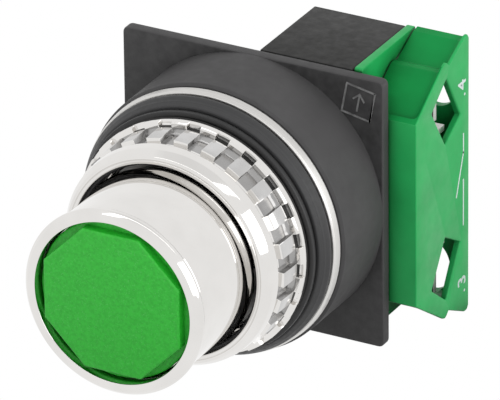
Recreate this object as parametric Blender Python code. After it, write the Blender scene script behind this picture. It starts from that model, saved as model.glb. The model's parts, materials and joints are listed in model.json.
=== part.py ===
"""Industrial push button for a 30.5 mm panel hole, with one normally open contact block.

The button's axis is Y: the front of the button faces -Y, the contact blocks are behind the panel
at +Y, X is to the right and Z is up. The origin is on the button's axis, in the plane that the
back of the panel rests on. All sizes below are in millimetres; MM turns them into metres.
"""

import math

import bmesh
import bpy
from mathutils import Vector

MM = 0.001
GAP = 0.3  # clearance between pieces that touch on the real object

# Driving sizes
PLATE = 46.0  # square plate, across
PLATE_CORNER = 1.0
PLATE_THICK = 2.0
BOSS_RADIUS = 22.9
BOSS_DEPTH = 12.6
BARREL_RADIUS = 15.1  # fits the 30.5 mm hole
FLANGE_RADIUS = 20.9
FLANGE_THICK = 2.2
STEM_RADIUS = 5.0
CUP_RADIUS = 14.95
CUP_FRONT = -32.9
CUP_BACK = -14.6
TRAVEL = 4.5
BARREL_FRONT = CUP_BACK + TRAVEL + 1.0
FLARE_RADIUS = 15.3  # rear end of the cup
LIP_RADIUS = 15.5
LIP_BORE = 13.5
SKIRT_BORE = 13.9
CUP_FLOOR = -29.6  # front face of the floor that the insert sits on
INSERT_FACE = -33.1
NUT_FRONT = -16.5
NUT_BACK = -6.1
NUT_RADIUS = 19.85
NUT_BORE = 16.2
SEAL_SEAT = 17.0  # groove in the nut's bore that holds the rubber ring
NUT_FLOOR = 17.9  # between the pads
NUT_PAD_RADIUS = 18.9
NUT_PADS = 24
NUT_PAD_START = 12.0  # degrees
WASHER_HOLE = 15.5

# Blocks behind the plate
PLATE_BACK = BOSS_DEPTH + PLATE_THICK
BLOCK_FRONT = PLATE_BACK + GAP
BLOCK_BACK = 33.0
AUX_LEFT = 0.2
AUX_RIGHT = 16.5
AUX_HALF_HEIGHT = 23.0
COVER_LEFT = AUX_RIGHT + GAP
COVER_RIGHT = 18.2
BODY_LEFT = COVER_RIGHT + GAP
BODY_RIGHT = 27.6
WALL = 1.4
RIGHT_WALL = 1.1

# Screws: (x, z) of those along Y, and (y, z) of those along X, upper one of each pair
BARREL_SCREW = (0.0, 18.2)
BLOCK_SCREW = (8.3, 17.0)
STACK_SCREW = (18.6, 11.5)
TERMINAL_SCREW = (21.9, 15.2)
DRIVER_SLOT_LEFT = 19.2
TROUGH_RIGHT = 26.7
CLEARANCE_HOLE = 1.8
THREAD = 1.5

# Contact mechanism
ROD_LEFT = 18.6
ROD_RIGHT = 20.2
ROD_HALF = 1.8
CROSS_BAR = (4.5, BOSS_DEPTH - TRAVEL - 0.7)  # front and back
BRIDGE = (20.9, 21.7)
TERMINAL_FRONT = 21.5
CONTACT_FRONT = BRIDGE[1] + TRAVEL + 0.4


def clear_scene():
    for obj in list(bpy.data.objects):
        bpy.data.objects.remove(obj)


def material(name, color, metallic, roughness):
    mat = bpy.data.materials.new(name)
    mat.use_nodes = True
    shader = mat.node_tree.nodes["Principled BSDF"]
    shader.inputs["Base Color"].default_value = (*color, 1.0)
    shader.inputs["Metallic"].default_value = metallic
    shader.inputs["Roughness"].default_value = roughness
    mat.diffuse_color = (*color, 1.0)
    return mat


def link(mesh, name):
    obj = bpy.data.objects.new(name, mesh)
    bpy.context.scene.collection.objects.link(obj)
    return obj


def new_object(bm, name):
    """Turns a bmesh in millimetres into an object in metres, with its faces pointing out."""
    bmesh.ops.remove_doubles(bm, verts=bm.verts, dist=0.0005)
    bmesh.ops.recalc_face_normals(bm, faces=bm.faces)
    bmesh.ops.scale(bm, vec=(MM, MM, MM), verts=bm.verts)
    mesh = bpy.data.meshes.new(name)
    bm.to_mesh(mesh)
    bm.free()
    return link(mesh, name)


def turned(name, profile, steps=48):
    """Revolves a closed outline of (radius, y) points about the Y axis."""
    bm = bmesh.new()
    ring = [bm.verts.new((radius, y, 0.0)) for radius, y in profile]
    edges = []
    for i in range(len(profile)):
        if profile[i - 1][0] > 0.0 or profile[i][0] > 0.0:
            edges.append(bm.edges.new((ring[i - 1], ring[i])))
    bmesh.ops.spin(
        bm,
        geom=edges + ring,
        cent=(0.0, 0.0, 0.0),
        axis=(0.0, 1.0, 0.0),
        angle=math.tau,
        steps=steps,
        use_merge=True,
    )
    return new_object(bm, name)


def prism(name, outline, axis, low, high):
    """Extrudes a closed outline along X or Y. The outline's points are (y, z) or (x, z)."""
    bm = bmesh.new()
    corners = [(low, a, b) if axis == "X" else (a, low, b) for a, b in outline]
    face = bm.faces.new([bm.verts.new(corner) for corner in corners])
    extruded = bmesh.ops.extrude_face_region(bm, geom=[face])
    moved = [g for g in extruded["geom"] if isinstance(g, bmesh.types.BMVert)]
    step = (high - low, 0.0, 0.0) if axis == "X" else (0.0, high - low, 0.0)
    bmesh.ops.translate(bm, vec=step, verts=moved)
    bmesh.ops.triangulate(bm, faces=[f for f in bm.faces if len(f.verts) > 4])
    return new_object(bm, name)


def box(name, x, y, z):
    outline = [(x[0], z[0]), (x[1], z[0]), (x[1], z[1]), (x[0], z[1])]
    return prism(name, outline, "Y", y[0], y[1])


def rod(name, axis, center, radius, low, high, steps=24):
    outline = circle(center, radius, steps)
    return prism(name, outline, axis, low, high)


def circle(center, radius, steps):
    angles = [math.tau * i / steps for i in range(steps)]
    return [(center[0] + radius * math.cos(a), center[1] + radius * math.sin(a)) for a in angles]


def rounded_rectangle(half_width, half_height, radius, steps=3):
    points = []
    for quarter, (sx, sz) in enumerate([(1, 1), (-1, 1), (-1, -1), (1, -1)]):
        cx, cz = sx * (half_width - radius), sz * (half_height - radius)
        for i in range(steps + 1):
            angle = math.radians(90 * quarter + 90 * i / steps)
            points.append((cx + radius * math.cos(angle), cz + radius * math.sin(angle)))
    return points


def combine(target, other, operation):
    """Applies one Boolean of other to target, and removes other."""
    modifier = target.modifiers.new(operation.lower(), "BOOLEAN")
    modifier.operation = operation
    modifier.solver = "EXACT"
    modifier.object = other
    bpy.context.view_layer.update()
    evaluated = target.evaluated_get(bpy.context.evaluated_depsgraph_get())
    result = bpy.data.meshes.new_from_object(evaluated)
    target.modifiers.remove(modifier)
    target.data = result
    bpy.data.objects.remove(other)
    return target


def cut(target, *cutters):
    for cutter in cutters:
        combine(target, cutter, "DIFFERENCE")
    return target


def join(target, *others):
    for other in others:
        combine(target, other, "UNION")
    return target


def finish(obj, mat, parent=None, angle=32.0):
    """Gives a piece its material, smooth shading with sharp edges, and its parent."""
    obj.data.materials.clear()
    obj.data.materials.append(mat)
    obj.data.shade_smooth()
    obj.data.set_sharp_from_angle(angle=math.radians(angle))
    if parent is not None:
        obj.data.transform(parent.matrix_world.inverted())
        obj.parent = parent
    return obj


def holder(name, x, z):
    """An empty on a joint's axis, which the pieces that slide along it are parented to."""
    empty = bpy.data.objects.new(name, None)
    bpy.context.scene.collection.objects.link(empty)
    empty.location = (x * MM, 0.0, z * MM)
    bpy.context.view_layer.update()
    return empty


def screw(name, axis, center, head, shank, head_ends, shank_end, slot_depth=0.8):
    """A slotted screw. head_ends is where the head begins and where it meets the shank."""
    top, under = head_ends
    outward = 1.0 if top > under else -1.0
    body = rod(name, axis, center, head, min(top, under), max(top, under), 20)
    inside_head = under + outward * 0.4
    pin = rod(name + "_pin", axis, center, shank, min(inside_head, shank_end), max(inside_head, shank_end), 16)
    join(body, pin)
    across, along = (head + 0.5, 0.35)
    bottom = top - outward * slot_depth
    span = (min(bottom, top + outward), max(bottom, top + outward))
    first = (center[0] - across, center[0] + across)
    second = (center[1] - along, center[1] + along)
    if axis == "Y":
        slot = box(name + "_slot", first, span, second)
    else:
        slot = box(name + "_slot", span, first, second)
    return cut(body, slot)


def coil(name, radius, wire, turns, low, high, center=(0.0, 0.0), steps=12, sides=5):
    """A closed and ground compression spring along Y, as one tube swept along a helix."""
    bm = bmesh.new()
    count = int(turns * steps)
    rings = []
    for i in range(count + 1):
        t = i / count
        angle = math.tau * turns * t
        y = low + wire + (high - low - 2 * wire) * t
        outward = Vector((math.cos(angle), 0.0, math.sin(angle)))
        middle = Vector((center[0], y, center[1])) + outward * radius
        ring = []
        for j in range(sides):
            a = math.tau * j / sides
            offset = outward * (wire * math.cos(a)) + Vector((0.0, 1.0, 0.0)) * (wire * math.sin(a))
            ring.append(bm.verts.new(middle + offset))
        rings.append(ring)
    for first, second in zip(rings, rings[1:]):
        for j in range(sides):
            bm.faces.new((first[j - 1], first[j], second[j], second[j - 1]))
    bm.faces.new(rings[0])
    bm.faces.new(rings[-1])
    return new_object(bm, name)


# Moving button


def button_insert(mats, moving):
    """Raised octagon on a round base, with a pocket behind it for the cap screw's head."""
    base = turned(
        "button_insert",
        [
            (0.0, CUP_FLOOR - GAP - 2.0),
            (3.8, CUP_FLOOR - GAP - 2.0),
            (3.8, CUP_FLOOR - GAP),
            (LIP_BORE - GAP, CUP_FLOOR - GAP),
            (LIP_BORE - GAP, CUP_FLOOR - GAP - 1.3),
            (0.0, CUP_FLOOR - GAP - 2.7),
        ],
    )
    circumradius = 0.95 * LIP_BORE
    chamfer = 0.35
    bm = bmesh.new()
    rings = []
    for radius, y in [
        (circumradius, CUP_FLOOR - GAP - 0.9),
        (circumradius, INSERT_FACE + chamfer),
        (circumradius - chamfer, INSERT_FACE),
    ]:
        angles = [math.radians(22.5 + 45 * i) for i in range(8)]
        rings.append([bm.verts.new((radius * math.cos(a), y, radius * math.sin(a))) for a in angles])
    for first, second in zip(rings, rings[1:]):
        for i in range(8):
            bm.faces.new((first[i - 1], first[i], second[i], second[i - 1]))
    bm.faces.new(rings[0])
    bm.faces.new(rings[-1])
    octagon = new_object(bm, "octagon")
    pocket = rod("pocket", "Y", (0.0, 0.0), 3.8, CUP_FLOOR - GAP - 2.0, CUP_FLOOR)
    join(base, octagon)
    return finish(cut(base, pocket), mats["green_button"], moving)


def button_cap(mats, moving):
    """Cup with a rolled lip in front, a floor for the insert and a hollow skirt that flares behind."""
    lip = [
        (LIP_RADIUS - 0.9, CUP_FRONT),
        (LIP_RADIUS - 0.35, CUP_FRONT + 0.15),
        (LIP_RADIUS, CUP_FRONT + 0.7),
        (LIP_RADIUS, CUP_FRONT + 1.3),
        (LIP_RADIUS - 0.35, CUP_FRONT + 1.8),
    ]
    side = [
        (CUP_RADIUS - 0.15, CUP_FRONT + 2.2),
        (CUP_RADIUS, CUP_FRONT + 3.0),
        (CUP_RADIUS, CUP_BACK - 3.8),
        (FLARE_RADIUS - 0.02, CUP_BACK - 1.9),
        (FLARE_RADIUS, CUP_BACK - 1.7),
        (FLARE_RADIUS, CUP_BACK),
        (SKIRT_BORE, CUP_BACK),
        (SKIRT_BORE, CUP_FLOOR + 1.2),
        (2.2, CUP_FLOOR + 1.2),
        (2.2, CUP_FLOOR),
        (LIP_BORE, CUP_FLOOR),
        (LIP_BORE, CUP_FRONT + 0.4),
    ]
    return finish(turned("button_cap", lip + side), mats["chrome"], moving)


def plunger_stem(mats, moving):
    """Shaft with threaded bores in both ends and a groove for the retaining clip."""
    front = CUP_FLOOR + 1.2 + GAP
    back = CROSS_BAR[0] - GAP
    profile = [
        (2.2, front),
        (STEM_RADIUS - 0.4, front),
        (STEM_RADIUS, front + 0.4),
        (STEM_RADIUS, FLANGE_THICK + 0.1),
        (3.9, FLANGE_THICK + 0.1),
        (3.9, FLANGE_THICK + 1.4),
        (STEM_RADIUS, FLANGE_THICK + 1.4),
        (STEM_RADIUS, back),
        (1.7, back),
        (1.7, -2.0),
        (0.0, -2.0),
        (0.0, -18.0),
        (2.2, -18.0),
    ]
    return finish(turned("plunger_stem", profile, 24), mats["steel"], moving)


def retaining_clip(mats, moving):
    """Open ring in the stem's groove, just behind the barrel's hub."""
    front, back = FLANGE_THICK + 0.45, FLANGE_THICK + 1.1
    steps = 22
    opening = math.radians(70)
    outline = []
    for radius, direction in ((7.2, 1), (4.2, -1)):
        for i in range(steps + 1):
            t = i / steps if direction > 0 else 1 - i / steps
            angle = -math.pi / 2 + opening / 2 + (math.tau - opening) * t
            outline.append((radius * math.cos(angle), radius * math.sin(angle)))
    clip = prism("retaining_clip", outline, "Y", front, back)
    return finish(clip, mats["steel"], moving)


def cross_bar(mats, moving):
    """Disc and arm behind the stem; the arm pushes the contact block's plunger."""
    front, back = CROSS_BAR
    bar = rod("cross_bar", "Y", (0.0, 0.0), 8.5, front, back, 32)
    arm = box("arm", (0.0, ROD_RIGHT), (front, back), (-2.4, 2.4))
    join(bar, arm)
    sink = rod("sink", "Y", (0.0, 0.0), 2.9, back - 1.4, back + 1.0)
    hole = rod("hole", "Y", (0.0, 0.0), 1.7, front - 1.0, back)
    return finish(cut(bar, sink, hole), mats["black_plastic"], moving)


def button_screws(mats, moving):
    cap_screw = screw(
        "cap_screw",
        "Y",
        (0.0, 0.0),
        3.2,
        1.85,
        (CUP_FLOOR - GAP - 1.6, CUP_FLOOR - GAP),
        -19.0,
    )
    finish(cap_screw, mats["steel"], moving)
    bar_screw = screw(
        "cross_bar_screw",
        "Y",
        (0.0, 0.0),
        2.5,
        1.35,
        (CROSS_BAR[1] - 0.1, CROSS_BAR[1] - 1.1),
        -1.0,
        0.5,
    )
    finish(bar_screw, mats["steel"], moving)


def return_spring(mats):
    spring = coil("return_spring", 9.4, 0.6, 7, CUP_FLOOR + 1.2 + GAP, -1.5)
    return finish(spring, mats["steel"])


# Front hardware


def bezel_ring_nut(mats):
    """Ring nut: smooth rounded band in front, raised pads, and a flange notched at every pad."""
    profile = [
        (NUT_BORE, NUT_FRONT + 0.15),
        (NUT_BORE + 0.15, NUT_FRONT),
        (17.0, NUT_FRONT),
        (17.7, NUT_FRONT + 0.7),
        (18.25, NUT_FRONT + 1.9),
        (18.4, NUT_FRONT + 2.9),
        (18.2, NUT_FRONT + 3.2),
        (NUT_FLOOR, NUT_FRONT + 3.4),
        (NUT_FLOOR, NUT_BACK - 2.2),
        (19.55, NUT_BACK - 2.1),
        (NUT_RADIUS, NUT_BACK - 1.8),
        (NUT_RADIUS, NUT_BACK - 0.2),
        (19.65, NUT_BACK),
        (WASHER_HOLE, NUT_BACK),
        (WASHER_HOLE, BARREL_FRONT - 0.6),
        (15.8, BARREL_FRONT - 0.6),
        (15.8, -12.4),
        (SEAL_SEAT, -12.4),
        (SEAL_SEAT, -15.5),
        (NUT_BORE, -15.5),
    ]
    nut = turned("bezel_ring_nut", profile, 60)
    pads, notches = bmesh.new(), bmesh.new()
    for i in range(NUT_PADS):
        angle = math.radians(NUT_PAD_START + 360 * i / NUT_PADS)
        add_block(pads, angle, (NUT_FLOOR - 0.4, NUT_PAD_RADIUS), (NUT_FRONT + 4.3, NUT_BACK - 1.6), 2.5)
        add_block(notches, angle, (NUT_PAD_RADIUS, 21.0), (NUT_BACK - 4.0, NUT_BACK - 1.2), 2.3)
    join(nut, new_object(pads, "pads"))
    return finish(cut(nut, new_object(notches, "notches")), mats["chrome"], angle=25.0)


def add_block(bm, angle, radii, span, width):
    """Adds to bm a block that stands out from the axis at this angle."""
    outward = Vector((math.cos(angle), 0.0, math.sin(angle)))
    aside = Vector((-math.sin(angle), 0.0, math.cos(angle)))
    corners = []
    for y in span:
        for radius, side in ((radii[0], -1), (radii[1], -1), (radii[1], 1), (radii[0], 1)):
            point = outward * radius + aside * (side * width / 2) + Vector((0.0, y, 0.0))
            corners.append(bm.verts.new(point))
    front, back = corners[:4], corners[4:]
    bm.faces.new(front)
    bm.faces.new(back)
    for i in range(4):
        bm.faces.new((front[i - 1], front[i], back[i], back[i - 1]))


def cup_seal(mats):
    """Rubber ring in the nut's groove, around the cup."""
    profile = [
        (FLARE_RADIUS + GAP, -15.0),
        (FLARE_RADIUS + GAP + 0.2, -15.2),
        (SEAL_SEAT - GAP, -15.2),
        (SEAL_SEAT - GAP, -12.7),
        (FLARE_RADIUS + GAP, -12.7),
    ]
    return finish(turned("cup_seal", profile), mats["black_rubber"])


def washers(mats):
    spacer = turned(
        "spacer_ring",
        [(WASHER_HOLE, -0.3), (22.3, -0.3), (22.4, -0.5), (22.25, -2.0), (22.1, -2.1), (WASHER_HOLE, -2.1)],
    )
    finish(spacer, mats["zinc"])
    gasket = turned(
        "panel_gasket",
        [(WASHER_HOLE, -2.4), (21.9, -2.4), (21.9, -2.9), (21.4, -3.8), (20.8, -4.5), (WASHER_HOLE, -4.5)],
    )
    finish(gasket, mats["black_rubber"])
    slip = turned(
        "slip_washer",
        [(WASHER_HOLE, -4.8), (20.3, -4.8), (20.5, -5.0), (20.5, -5.6), (20.3, -5.8), (WASHER_HOLE, -5.8)],
    )
    finish(slip, mats["black_plastic"])


def threaded_barrel(mats):
    """Tube through the panel, with a flange behind it and a hub that guides the stem."""
    hub_bore, hub, tube_bore, web = STEM_RADIUS + GAP, 7.3, 13.2, -1.2
    thread = []
    for i in range(2):
        y = -5.6 - 1.6 * i
        thread += [(BARREL_RADIUS, y), (BARREL_RADIUS - 0.5, y - 0.5), (BARREL_RADIUS, y - 1.0)]
    profile = [
        (hub_bore, FLANGE_THICK),
        (FLANGE_RADIUS, FLANGE_THICK),
        (FLANGE_RADIUS, 0.1),
        (BARREL_RADIUS, 0.1),
        *thread,
        (BARREL_RADIUS, BARREL_FRONT),
        (tube_bore, BARREL_FRONT),
        (tube_bore, web),
        (hub, web),
        (hub, BARREL_FRONT),
        (hub_bore, BARREL_FRONT),
    ]
    barrel = turned("threaded_barrel", profile, 36)
    for name, side in (("upper", 1), ("lower", -1)):
        center = (BARREL_SCREW[0], side * BARREL_SCREW[1])
        sink = rod("sink", "Y", center, 2.4, -1.0, 1.4)
        hole = rod("hole", "Y", center, CLEARANCE_HOLE, 0.0, FLANGE_THICK + 1.0)
        cut(barrel, sink, hole)
        fixing = screw("barrel_screw_" + name, "Y", center, 2.1, 1.4, (0.2, 1.1), 9.0, 0.5)
        finish(fixing, mats["steel"])
    return finish(barrel, mats["zinc"])


# Operator body


def operator_body(mats):
    """Square plate with a hollow round boss, closed behind by the plate."""
    body = prism("operator_body", rounded_rectangle(PLATE / 2, PLATE / 2, PLATE_CORNER), "Y", BOSS_DEPTH, PLATE_BACK)
    ledge = FLANGE_THICK + 0.3
    boss = turned(
        "boss",
        [
            (20.7, ledge),
            (21.2, ledge),
            (21.2, 0.0),
            (BOSS_RADIUS - 0.6, 0.0),
            (BOSS_RADIUS - 0.1, 0.5),
            (BOSS_RADIUS, BOSS_DEPTH + 0.8),
            (20.7, BOSS_DEPTH + 0.8),
        ],
    )
    join(body, boss)
    join(body, box("seat", (-21.5, -1.0), (PLATE_BACK - 0.5, BLOCK_FRONT), (-21.5, 21.5)))
    for side in (1, -1):
        for point, radius, front in ((BARREL_SCREW, 2.6, ledge + 0.3), (BLOCK_SCREW, 2.8, 4.5)):
            center = (point[0], side * point[1])
            join(body, rod("post", "Y", center, radius, front, BOSS_DEPTH + 0.5))
    for side in (1, -1):
        window = sorted((side * (ROD_LEFT - GAP), side * (ROD_RIGHT + GAP)))
        block_hole = rod("hole", "Y", (BLOCK_SCREW[0], side * BLOCK_SCREW[1]), CLEARANCE_HOLE, 3.5, 16.0)
        barrel_hole = rod("hole", "Y", (BARREL_SCREW[0], side * BARREL_SCREW[1]), 1.7, 1.5, 10.5)
        opening = box("window", window, (11.0, 16.0), (-2.1, 2.1))
        cut(body, block_hole, barrel_hole, opening)
    return finish(body, mats["black_body"])


# Black block


def aux_block(mats):
    """Hollow black block with a lid set into its open rear, and a tube for each fixing screw."""
    front, tube_end, lid_front = BLOCK_FRONT, BLOCK_BACK - 2.0, BLOCK_BACK - 1.7
    housing = box("aux_block_housing", (AUX_LEFT, AUX_RIGHT), (front, BLOCK_BACK), (-AUX_HALF_HEIGHT, AUX_HALF_HEIGHT))
    inside = box(
        "inside",
        (AUX_LEFT + WALL, AUX_RIGHT - WALL),
        (front + WALL, BLOCK_BACK + 1.0),
        (WALL - AUX_HALF_HEIGHT, AUX_HALF_HEIGHT - WALL),
    )
    cut(housing, inside)
    inset = WALL + GAP
    lid = box(
        "aux_block_cover",
        (AUX_LEFT + inset, AUX_RIGHT - inset),
        (lid_front, BLOCK_BACK - GAP),
        (inset - AUX_HALF_HEIGHT, AUX_HALF_HEIGHT - inset),
    )
    for name, side in (("upper", 1), ("lower", -1)):
        center = (BLOCK_SCREW[0], side * BLOCK_SCREW[1])
        join(housing, rod("tube", "Y", center, 2.9, front + 0.5, tube_end))
        cut(housing, rod("hole", "Y", center, CLEARANCE_HOLE, front - 1.0, tube_end + 1.0))
        side_hole = (STACK_SCREW[0], side * STACK_SCREW[1])
        cut(housing, rod("hole", "X", side_hole, CLEARANCE_HOLE, AUX_LEFT + 0.6, AUX_RIGHT + 1.0))
        cut(housing, rod("sink", "X", side_hole, 3.0, AUX_LEFT - 1.0, AUX_LEFT + 1.0))
        cut(lid, rod("hole", "Y", center, 3.0, lid_front - 1.0, BLOCK_BACK + 1.0))
        fixing = screw(
            "block_screw_" + name,
            "Y",
            center,
            2.7,
            THREAD,
            (tube_end + 1.7, tube_end + GAP),
            5.0,
        )
        finish(fixing, mats["steel"])
        stack = screw("stack_screw_" + name, "X", side_hole, 2.6, THREAD, (AUX_LEFT + 0.1, AUX_LEFT + 0.9), 24.0, 0.4)
        finish(stack, mats["steel"])
    finish(housing, mats["black_body"])
    finish(lid, mats["black_body"])


# Contact block


def block_outline():
    """Side view of the contact block as (y, z): two rising shingles above, mirrored below."""
    upper = [
        (BLOCK_FRONT, 15.8),
        (24.1, 22.0),
        (24.8, 22.3),
        (25.5, 22.0),
        (26.1, 21.4),
        (31.6, 24.1),
        (32.5, 24.0),
        (BLOCK_BACK, 23.4),
    ]
    lower = [(y, -z) for y, z in reversed(upper)]
    return upper + lower


def block_hollow():
    upper = [(BLOCK_FRONT + WALL, 14.2), (18.6, 16.0), (24.0, 19.2), (30.2, 21.1), (BLOCK_BACK - WALL, 21.1)]
    lower = [(y, -z) for y, z in reversed(upper)]
    return upper + lower


def block_trough(side):
    """Sunk top of the block, open behind, as (y, z). It steps up once."""
    floor = [
        (BLOCK_FRONT + 0.8, 15.4),
        (24.0, 20.8),
        (25.0, 20.9),
        (26.0, 20.5),
        (28.8, 21.9),
        (31.6, 23.1),
        (BLOCK_BACK + 0.5, 23.4),
        (BLOCK_BACK + 0.5, 26.0),
        (BLOCK_FRONT + 0.8, 26.0),
    ]
    return [(y, side * z) for y, z in floor]


def wire_opening(side):
    """Slanted opening in the block's right wall: the wire goes in here, under the clamp plate."""
    corners = [(25.4, 19.3), (30.2, 11.1), (25.0, 8.1), (20.4, 15.4)]
    return [(y, side * z) for y, z in corners]


def driver_slot(side):
    """Hole in the rear wall in line with the terminal screw: obround above, wider and D-shaped below."""
    if side > 0:
        middle, reach, height, half = (22.6, 16.2), 3.4, 3.4, 1.7
    else:
        middle, reach, height, half = (21.45, -17.2), 3.6, 4.6, 0.0
    points = []
    for i in range(24):
        angle = math.tau * (i + 0.5) / 24
        shift = half if math.sin(angle) > 0 else -half
        x = max(middle[0] + reach * math.cos(angle), DRIVER_SLOT_LEFT)
        points.append((x, middle[1] + shift + height * math.sin(angle)))
    return points


def contact_block(mats):
    body = prism("contact_block_body", block_outline(), "X", BODY_LEFT, BODY_RIGHT)
    cut(body, prism("hollow", block_hollow(), "X", BODY_LEFT - 1.0, BODY_RIGHT - RIGHT_WALL))
    cover = box("contact_block_cover", (COVER_LEFT, COVER_RIGHT), (BLOCK_FRONT, BLOCK_BACK), (-23.4, 23.4))
    for side in (1, -1):
        hole_at = (STACK_SCREW[0], side * STACK_SCREW[1])
        join(body, rod("post", "X", hole_at, 2.5, BODY_LEFT, BODY_RIGHT - RIGHT_WALL / 2))
        cut(body, rod("hole", "X", hole_at, CLEARANCE_HOLE, BODY_LEFT - 1.0, 25.0))
        cut(cover, rod("hole", "X", hole_at, CLEARANCE_HOLE, COVER_LEFT - 1.0, COVER_RIGHT + 1.0))
        cut(body, prism("wire_opening", wire_opening(side), "X", BODY_RIGHT - RIGHT_WALL - 0.5, BODY_RIGHT + 1.0))
        cut(body, prism("driver_slot", driver_slot(side), "Y", BLOCK_BACK - WALL - 1.0, BLOCK_BACK + 1.0))
        cut(body, prism("trough", block_trough(side), "X", BODY_LEFT - 1.0, TROUGH_RIGHT))
    slot = box("slot", (BODY_LEFT - 1.0, ROD_RIGHT + GAP), (BLOCK_FRONT - 1.0, BLOCK_FRONT + WALL + 1.0), (-2.1, 2.1))
    finish(cut(body, slot), mats["green_block"])
    finish(cover, mats["green_block"])


def contact_carrier(mats, sliding):
    """Plunger that the cross bar pushes, and the bridge that it carries."""
    plunger = box("contact_plunger", (ROD_LEFT, ROD_RIGHT), (CROSS_BAR[1] + 0.4, 18.5), (-ROD_HALF, ROD_HALF))
    join(plunger, box("carrier", (ROD_LEFT, 25.8), (17.6, BRIDGE[0] - GAP), (-2.4, 2.4)))
    join(plunger, rod("stub", "Y", (22.4, 0.0), 1.2, 19.0, BRIDGE[1] + 0.9, 16))
    finish(plunger, mats["cream_plastic"], sliding)
    bridge = box("contact_bridge", (20.6, 24.2), BRIDGE, (-9.0, 9.0))
    for side in (1, -1):
        join(bridge, rod("tip", "Y", (22.4, side * 7.4), 1.3, BRIDGE[0] + 0.3, BRIDGE[1] + 0.35, 16))
    cut(bridge, rod("hole", "Y", (22.4, 0.0), 1.5, BRIDGE[0] - 1.0, BRIDGE[1] + 1.0, 16))
    finish(bridge, mats["brass"], sliding)


def contact_spring(mats):
    spring = coil("contact_spring", 2.2, 0.3, 6, BRIDGE[1] + 0.3, 31.2, (22.4, 0.0), 10)
    return finish(spring, mats["steel"])


def terminal(mats, name, side):
    """Fixed contact with its terminal plate, the clamp plate on it and the terminal screw."""
    x_range = (19.4, 26.1)
    leg = sorted((side * 9.3, side * 10.3))
    fixed = box("fixed_contact_" + name, x_range, (TERMINAL_FRONT, TERMINAL_FRONT + 1.0), sorted((side * 9.3, side * 17.6)))
    join(fixed, box("leg", x_range, (TERMINAL_FRONT, CONTACT_FRONT + 0.8), leg))
    join(fixed, box("tongue", (20.8, 24.0), (CONTACT_FRONT, CONTACT_FRONT + 0.8), sorted((side * 5.4, side * 9.6))))
    center = (TERMINAL_SCREW[0], side * TERMINAL_SCREW[1])
    cut(fixed, rod("hole", "Y", center, CLEARANCE_HOLE, TERMINAL_FRONT - 1.0, TERMINAL_FRONT + 2.0, 16))
    finish(fixed, mats["zinc"])
    clamp = box("clamp_plate_" + name, (19.6, 25.6), (24.6, 25.6), sorted((side * 11.8, side * 18.2)))
    cut(clamp, rod("hole", "Y", center, CLEARANCE_HOLE, 23.0, 27.0, 16))
    finish(clamp, mats["zinc"])
    fixing = screw("terminal_screw_" + name, "Y", center, 2.4, THREAD, (27.4, 25.9), 20.2, 0.9)
    finish(fixing, mats["steel"])


def build():
    clear_scene()
    mats = {
        "green_button": material("green_button", (0.045, 0.40, 0.055), 0.0, 0.45),
        "green_block": material("green_block", (0.02, 0.30, 0.09), 0.0, 0.40),
        "chrome": material("chrome", (0.80, 0.79, 0.78), 1.0, 0.08),
        "zinc": material("zinc", (0.55, 0.55, 0.54), 1.0, 0.30),
        "steel": material("steel", (0.50, 0.50, 0.50), 1.0, 0.25),
        "brass": material("brass", (0.70, 0.47, 0.20), 1.0, 0.25),
        "black_body": material("black_body", (0.045, 0.045, 0.047), 0.0, 0.42),
        "black_plastic": material("black_plastic", (0.02, 0.02, 0.021), 0.0, 0.40),
        "black_rubber": material("black_rubber", (0.03, 0.03, 0.03), 0.0, 0.65),
        "cream_plastic": material("cream_plastic", (0.75, 0.70, 0.58), 0.0, 0.45),
    }
    moving = holder("button_axis", 0.0, 0.0)
    button_insert(mats, moving)
    button_cap(mats, moving)
    plunger_stem(mats, moving)
    retaining_clip(mats, moving)
    cross_bar(mats, moving)
    button_screws(mats, moving)
    return_spring(mats)
    bezel_ring_nut(mats)
    cup_seal(mats)
    washers(mats)
    threaded_barrel(mats)
    operator_body(mats)
    aux_block(mats)
    contact_block(mats)
    sliding = holder("contact_axis", (ROD_LEFT + ROD_RIGHT) / 2, 0.0)
    contact_carrier(mats, sliding)
    contact_spring(mats)
    terminal(mats, "upper", 1)
    terminal(mats, "lower", -1)


build()
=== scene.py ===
"""Looks of the industrial push button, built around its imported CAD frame.

Lengths are in millimetres, and MM turns them into metres. Only the stage and its lights are
placed in metres.
The button's axis is Y, with its front at -Y; X is to the right and Z is up.
"""

import json
import math

import bmesh
import bpy
from mathutils import Matrix, Vector

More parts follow.
